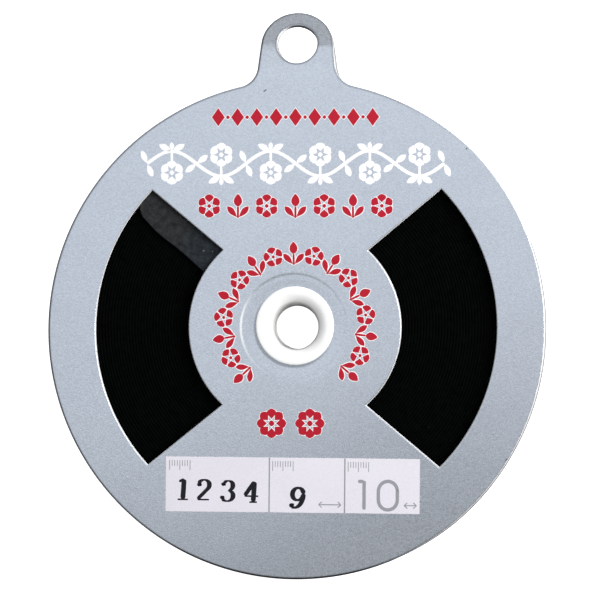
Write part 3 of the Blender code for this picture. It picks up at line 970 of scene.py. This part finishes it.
# A petal or leaf from its foot to its tip. Its half width is a power of a sine of the way along.
def petal(x, y, angle, foot, tip, width, peak=0.6, steps=16):
    share = 0.5 - 0.5 * np.cos(np.linspace(0, math.pi, steps))
    path = np.array([x, y]) + (foot + (tip - foot) * share)[:, None] * (math.cos(angle), math.sin(angle))
    power = math.log(0.5) / math.log(peak)
    return path, width / 2 * np.sin(math.pi * share ** power) ** 0.75 + 1e-4


def dot(x, y, radius):
    return petal(x, y, 0.0, -radius, radius, 2 * radius, peak=0.5, steps=18)


def thread(path, half, steps):  # a pen stroke of one width
    return penStroke(path, half, half, steps)


def flower(x, y, radius, petals, turn=90.0, width=0.8, heart=0.17):  # petals round a dot, with gaps between
    step = math.tau / petals
    broad = width * radius * 1.9 * math.sin(step / 2)
    strokes = [petal(x, y, math.radians(turn) + k * step, 0.3 * radius, radius, broad, peak=0.62)
               for k in range(petals)]
    return strokes + [dot(x, y, heart * radius)]


def sprig(x, y, size, turn):  # a bud over two leaves, on a short stem
    up = math.radians(turn)
    footX, footY = x - 1.2 * size * math.cos(up), y - 1.2 * size * math.sin(up)
    leaves = [petal(footX, footY, up + side * math.radians(42), 0.15 * size, 1.6 * size, 0.6 * size)
              for side in (-1, 1)]
    stem = thread(np.array([(footX, footY), (x, y)]), 0.11 * size, 10)
    return [petal(x, y, up, 0.0, 1.25 * size, 0.85 * size, peak=0.42)] + leaves + [stem]


# A low bead of ink along each stroke: eight points round it, from under the card's face up over soft edges.
# Each stroke stands a hair higher than the last, so that crossing tops never share a plane.
def inkPiece(name, strokes, material, level=0.0, grow=0.0):
    points, faces, start = [], [], 0
    inset = np.array([0, 0, 0.4, 1, 1, 0.4, 0, 0])
    climb = np.array([-0.5, 0.3, 0.8, 1, 1, 0.8, 0.3, -0.5])
    side = np.repeat([-1, 1], 4)
    for number, (path, half) in enumerate(strokes):
        way = unit(np.gradient(path, axis=0))
        if grow:
            path = np.vstack([path[0] - way[0] * grow, path, path[-1] + way[-1] * grow])
            half = np.r_[grow * 0.3, half + grow, grow * 0.3]
            way = np.vstack([way[0], way, way[-1]])
        normal = np.column_stack([-way[:, 1], way[:, 0]])
        soft = np.minimum(printed["softEdge"], half * 0.6)
        offset = side * (half[:, None] - inset * soft[:, None])
        flat = path[:, None] + offset[..., None] * normal[:, None]
        high = printed["rise"] * climb + level + 0.0008 * (number % 8)
        base = reelTop + cardWarp(flat[..., 0], flat[..., 1])
        points.append(np.concatenate([flat, (base + high)[..., None]], axis=2).reshape(-1, 3))
        rows = len(path)
        faces += gridFaces(rows, 8, roundColumns=True, start=start)
        faces += [list(range(start, start + 8)), [start + (rows - 1) * 8 + k for k in range(8)]]
        start += rows * 8
    return putPiece(name, np.vstack(points), faces, material, sharpOver=12)


# A vine in place of the large lettering. Each bend bears a blossom in its hollow and three leaves on its
# back, and leaves stand in pairs where the vine crosses its middle line.
def vineBand():
    half, rise, radius, bends, y = pick(printed, "vineHalf vineRise blossom vineBends vineY")
    step = 2 * half / bends
    x = np.linspace(-half, half, 260)
    wave = np.column_stack([x, rise * np.sin(math.pi * (x + half) / step)])
    strokes = [penStroke(part, 0.36, 0.5, steps=60) for part in np.array_split(wave, 4)]
    strokes += [thread(wave[k - 4:k + 4], 0.4, 8) for k in (65, 130, 195)]
    for k in range(bends):
        middle, way = (k + 0.5) * step - half, (1, -1)[k % 2]
        foot = -way * (radius - 0.75)
        strokes += flower(middle, foot, radius, 6, width=0.86, heart=0.2)
        strokes.append(thread(line(middle, way * rise, middle, foot + way * radius * 0.9), 0.3, 10))
        for lean in (-62, 62, 0):
            turn, tall, broad = math.radians(way * (90 + lean)), *((3.5, 1.5) if lean else (2.2, 1.1))
            strokes.append(petal(middle, way * rise, turn, 0.2, tall, broad, peak=0.55))
    for k in range(bends + 1):
        slope = (1, -1)[k % 2] * math.degrees(math.atan(math.pi * rise / step))
        for lean in (75, -105):
            strokes.append(petal(k * step - half, 0, math.radians(slope + lean), 0.25, 3.4, 1.45, peak=0.55))
    return [(path + (0, y), width) for path, width in strokes]


def diamonds():  # in place of the small line above the large lettering
    y, half, count, tall = pick(printed, "diamondsY diamondsHalf diamonds diamond")
    strokes = []
    for k, x in enumerate(np.linspace(-half, half, 2 * count - 1)):
        if k % 2:
            strokes.append(dot(x, y, 0.45))
        else:
            share = np.linspace(0, 1, 9)
            path = np.column_stack([x + tall * (2 * share - 1) * 0.72, np.full(9, y)])
            strokes.append((path, tall * (1 - np.abs(2 * share - 1)) + 1e-4))
    return strokes


def redStrokes():
    size = printed
    strokes = diamonds()
    for k, x in enumerate(np.linspace(-size["rowHalf"], size["rowHalf"], size["rowCount"])):
        if k % 2:
            strokes += sprig(x, size["rowY"] - 0.1, size["rowRadius"] * 0.84, 90)
        else:
            strokes += flower(x, size["rowY"], size["rowRadius"], 6)
    for k, angle in enumerate(np.linspace(size["ringFrom"], size["ringTo"], size["ringCount"])):
        (x, y), = oval(hubX, hubY, size["ringRadius"], size["ringRadius"], np.radians([angle]))
        if k % 2:
            strokes += flower(x, y, size["ringFlower"], 5, angle)
        else:
            strokes += sprig(x, y, size["ringSprig"], angle)
    for x in size["pairX"]:
        strokes += flower(x, size["pairY"], size["pairRadius"], 8, width=0.86, heart=0.2)
    return strokes


def blob(x, y, radius):
    return bow(x, y, radius, radius, 0, 360, 12)


# Bold figures in a unit box, as pen paths.
figures = {
    "1": [line(0.36, 0.04, 0.36, 0.95), line(0.14, 0.84, 0.36, 0.95), line(0.12, 0.03, 0.60, 0.03)],
    "2": [np.vstack([bow(0.34, 0.72, 0.25, 0.24, 165, -20), line(0.55, 0.58, 0.09, 0.08)]),
          line(0.09, 0.06, 0.62, 0.06), blob(0.16, 0.74, 0.03)],
    "3": [bow(0.32, 0.735, 0.22, 0.22, 150, -85), bow(0.32, 0.27, 0.26, 0.24, 88, -150),
          blob(0.14, 0.80, 0.03), blob(0.12, 0.2, 0.03)],
    "4": [line(0.46, 0.96, 0.05, 0.32), line(0.05, 0.30, 0.68, 0.30), line(0.46, 0.04, 0.46, 0.96),
          line(0.28, 0.03, 0.64, 0.03)],
    "9": [bow(0.34, 0.67, 0.25, 0.28, 0, 362, 50), bow(0.22, 0.62, 0.37, 0.57, 8, -112),
          blob(0.12, 0.15, 0.04)],
}


def figure(sign, x, y, thin):  # one figure with its lower left corner at x, y
    slant = printed["figure"] * np.array([(1, 0), (0.06, 1)])
    return [penStroke((x, y) + path @ slant, thin, 0.6) for path in figures[sign]]


# The pale panel with its cells: a counting row, a width and a length, in plain figures, with small scales.
def panelStrokes():
    (left, right), (low, high), (second, third) = pick(printed, "panelX panelY dividers")
    dividerPen, digitPen, arrowPen, tickPen = printed["pens"]
    middle = np.array([(left + right) / 2, (low + high) / 2])
    slab = [(line(left, middle[1], right, middle[1], 40), np.full(40, (high - low) / 2))]
    black = []
    for k, (sign, x) in enumerate(zip("1234", printed["countX"])):
        black += figure(sign, left + x, low + 2.75 - 0.16 * k, 0.2)
    black += figure("9", second + 4.95, low + 0.95, 0.28)
    grey = [(line(x, low + 0.05, x, high - 0.05, 20), np.full(20, dividerPen)) for x in (second, third)]
    bowl = np.vstack([bow(third + 10.45, low + 5.4, 2.3, 2.4, 0, 180, 24),
                      bow(third + 10.45, low + 3.3, 2.3, 2.4, 180, 360, 24),
                      (third + 12.75, low + 5.4), (third + 12.73, low + 5.8)])
    stem = line(third + 4.7, low + 0.9, third + 4.7, low + 7.9)
    flag = line(third + 3.2, low + 7.7, third + 4.65, low + 7.7)
    grey += [thread(path, digitPen, 40) for path in (stem, flag, bowl)]
    for x, reach in ((second + 14.7, 2.7), (third + 15.9, 1.5)):  # double arrows, for across and along
        y = low + 2.0
        grey.append(thread(line(x - reach, y, x + reach, y), arrowPen, 12))
        grey += [thread(line(x + side * reach, y, x + side * (reach - 0.8), y + rise), arrowPen, 8)
                 for side in (-1, 1) for rise in (-0.7, 0.7)]
    for start in (left + 0.9, second + 0.8, third + 0.8):
        for k in range(9):
            x, tall = start + 0.62 * k, 2.5 if k % 4 == 0 else 1.5
            grey.append(thread(line(x, high - 0.8, x, high - 0.8 - tall), tickPen, 8))
    a = math.radians(printed["panelTurn"])
    turn = np.array([[math.cos(a), math.sin(a)], [-math.sin(a), math.cos(a)]])
    return [[((path - middle) @ turn + middle, half) for path, half in strokes]
            for strokes in (slab, black, grey)]


def makePrint():
    slab, black, grey = panelStrokes()
    red, white = redStrokes(), printInk("whiteInk")
    nicks = [thread(line(*ends), 0.14, 8) for ends in printed["scratches"]]
    inkPiece("palePanel", slab, printInk("panelInk"))
    inkPiece("whiteVine", vineBand(), white)
    inkPiece("whiteUnderprint", red, white, level=-0.006, grow=printed["halo"])
    inkPiece("redMotifs", red, printInk("redInk"), level=0.012)
    inkPiece("blackFigures", black, printInk("blackInk"), level=0.018)
    inkPiece("greyLines", grey, printInk("greyInk"), level=0.016)
    inkPiece("scratches", nicks, printInk("scratchInk"))


makePrint()


def addFloor():
    mesh = bpy.data.meshes.new("floor")
    side, level = 2.0, -0.00005  # metres
    corners = [(x * side, y * side, level) for x, y in ((-1, -1), (1, -1), (1, 1), (-1, 1))]
    mesh.from_pydata(corners, [], [(0, 1, 2, 3)])
    mesh.materials.append(paleFloor())
    floor = newObject("floor", mesh)


addFloor()
print("finished")
